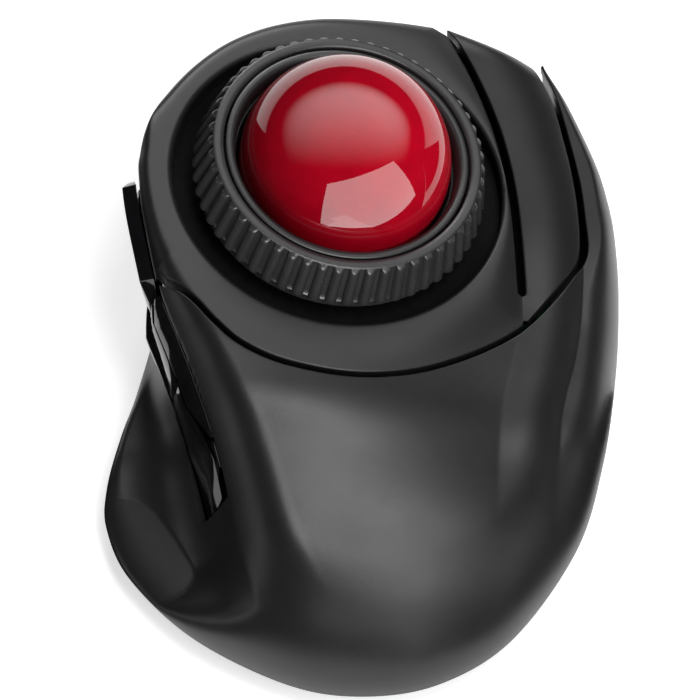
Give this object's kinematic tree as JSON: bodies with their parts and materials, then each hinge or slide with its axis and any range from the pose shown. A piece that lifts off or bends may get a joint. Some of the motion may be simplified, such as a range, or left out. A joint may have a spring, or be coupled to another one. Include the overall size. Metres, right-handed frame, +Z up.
{
  "type": "trackball mouse",
  "caption": "Finger-operated trackball mouse: red ball in a tilted ribbed scroll ring, hinged ring-finger key, glossy thumb keys and a flared palm shell.",
  "frame": {"origin": "middle of the bounding box on the table plane, under the rubber feet", "axes": "+Y towards the front (finger end), +X to the right, +Z up"},
  "size_m": [0.0978, 0.1336, 0.0601],
  "materials": {
    "case_plastic": "fine matt texture",
    "shell_plastic": "satin, very fine grain",
    "gloss_black": "polished",
    "ball_resin": "polished deep red",
    "ring_plastic": "satin",
    "ceramic": "polished bearing ball",
    "component_black": "moulded package",
    "code_band": "bonded magnet strip",
    "circuit_board": "solder mask",
    "battery_can": "printed sleeve, plain",
    "spring_steel": "plated",
    "knob_plastic": "moulded",
    "steel_can": "stamped",
    "receiver_shell": "moulded",
    "foot_rubber": "matt",
    "screw_steel": "zinc plated",
    "light_pipe": "clear"
  },
  "bodies": {
    "housing": {"base_plate": "case_plastic", "palm_shell": "shell_plastic", "front_deck": "shell_plastic", "thumb_panel": "gloss_black", "ring_bezel": "ring_plastic", "ball_cup": "case_plastic", "bearing_balls": "ceramic", "ball_sensor": "component_black", "ring_pickup": "component_black", "main_board": "circuit_board", "board_chips": "component_black", "side_board": "circuit_board", "right_switch": "component_black", "thumb_switches": "component_black", "battery": "battery_can", "battery_contacts": "spring_steel", "power_switch_body": "steel_can", "usb_receiver": "receiver_shell", "rubber_feet": "foot_rubber", "case_screws": "screw_steel", "board_screws": "screw_steel", "cup_screws": "screw_steel", "status_led": "light_pipe"},
    "ball": {"trackball": "ball_resin"},
    "ring": {"scroll_ring": "ring_plastic", "ring_code_band": "code_band"},
    "right_key": {"right_click_key": "shell_plastic"},
    "key_front": {"thumb_key_front": "gloss_black"},
    "key_upper": {"thumb_key_upper": "gloss_black"},
    "key_lower_front": {"thumb_key_lower_front": "gloss_black"},
    "key_lower_rear": {"thumb_key_lower_rear": "gloss_black"},
    "key_small": {"thumb_key_small": "gloss_black"},
    "power_slider": {"power_knob": "knob_plastic"},
    "door": {"battery_door": "case_plastic"}
  },
  "joints": [
    {"name": "ball_roll", "type": "hinge", "parent": "housing", "child": "ball", "pos_m": [-0.00367, 0.02789, 0.04006], "axis": [1, 0, 0], "continuous": true},
    {"name": "ring_spin", "type": "hinge", "parent": "housing", "child": "ring", "pos_m": [-0.0031, 0.028, 0.043], "axis": [0.1907, 0.0349, 0.981], "continuous": true},
    {"name": "right_key_press", "type": "hinge", "parent": "housing", "child": "right_key", "pos_m": [0.0344, 0.0032, 0.022], "axis": [-1, 0, 0], "range_deg": [0, 1.2], "stiffness_Nm_per_rad": 1.3, "springref_deg": -0.34},
    {"name": "key_front_press", "type": "slide", "parent": "housing", "child": "key_front", "axis": [0.8723, 0.2306, -0.4312], "range_m": [0, 0.0004], "stiffness_N_per_m": 1200, "springref_m": -0.0002},
    {"name": "key_upper_press", "type": "slide", "parent": "housing", "child": "key_upper", "axis": [0.8723, 0.2306, -0.4312], "range_m": [0, 0.0005], "stiffness_N_per_m": 1200, "springref_m": -0.0002},
    {"name": "key_lower_front_press", "type": "slide", "parent": "housing", "child": "key_lower_front", "axis": [0.8723, 0.2306, -0.4312], "range_m": [0, 0.0005], "stiffness_N_per_m": 1200, "springref_m": -0.0002},
    {"name": "key_lower_rear_press", "type": "slide", "parent": "housing", "child": "key_lower_rear", "axis": [0.8723, 0.2306, -0.4312], "range_m": [0, 0.0005], "stiffness_N_per_m": 1200, "springref_m": -0.0002},
    {"name": "key_small_press", "type": "slide", "parent": "housing", "child": "key_small", "axis": [0.8723, 0.2306, -0.4312], "range_m": [0, 0.0005], "stiffness_N_per_m": 1200, "springref_m": -0.0002},
    {"name": "power_slide", "type": "slide", "parent": "housing", "child": "power_slider", "axis": [1, 0, 0], "range_m": [0, 0.004]},
    {"name": "battery_door_swing", "type": "hinge", "parent": "housing", "child": "door", "pos_m": [0.0004, -0.0025, 0.0015], "axis": [1, 0, 0], "range_deg": [0, 95]}
  ]
}
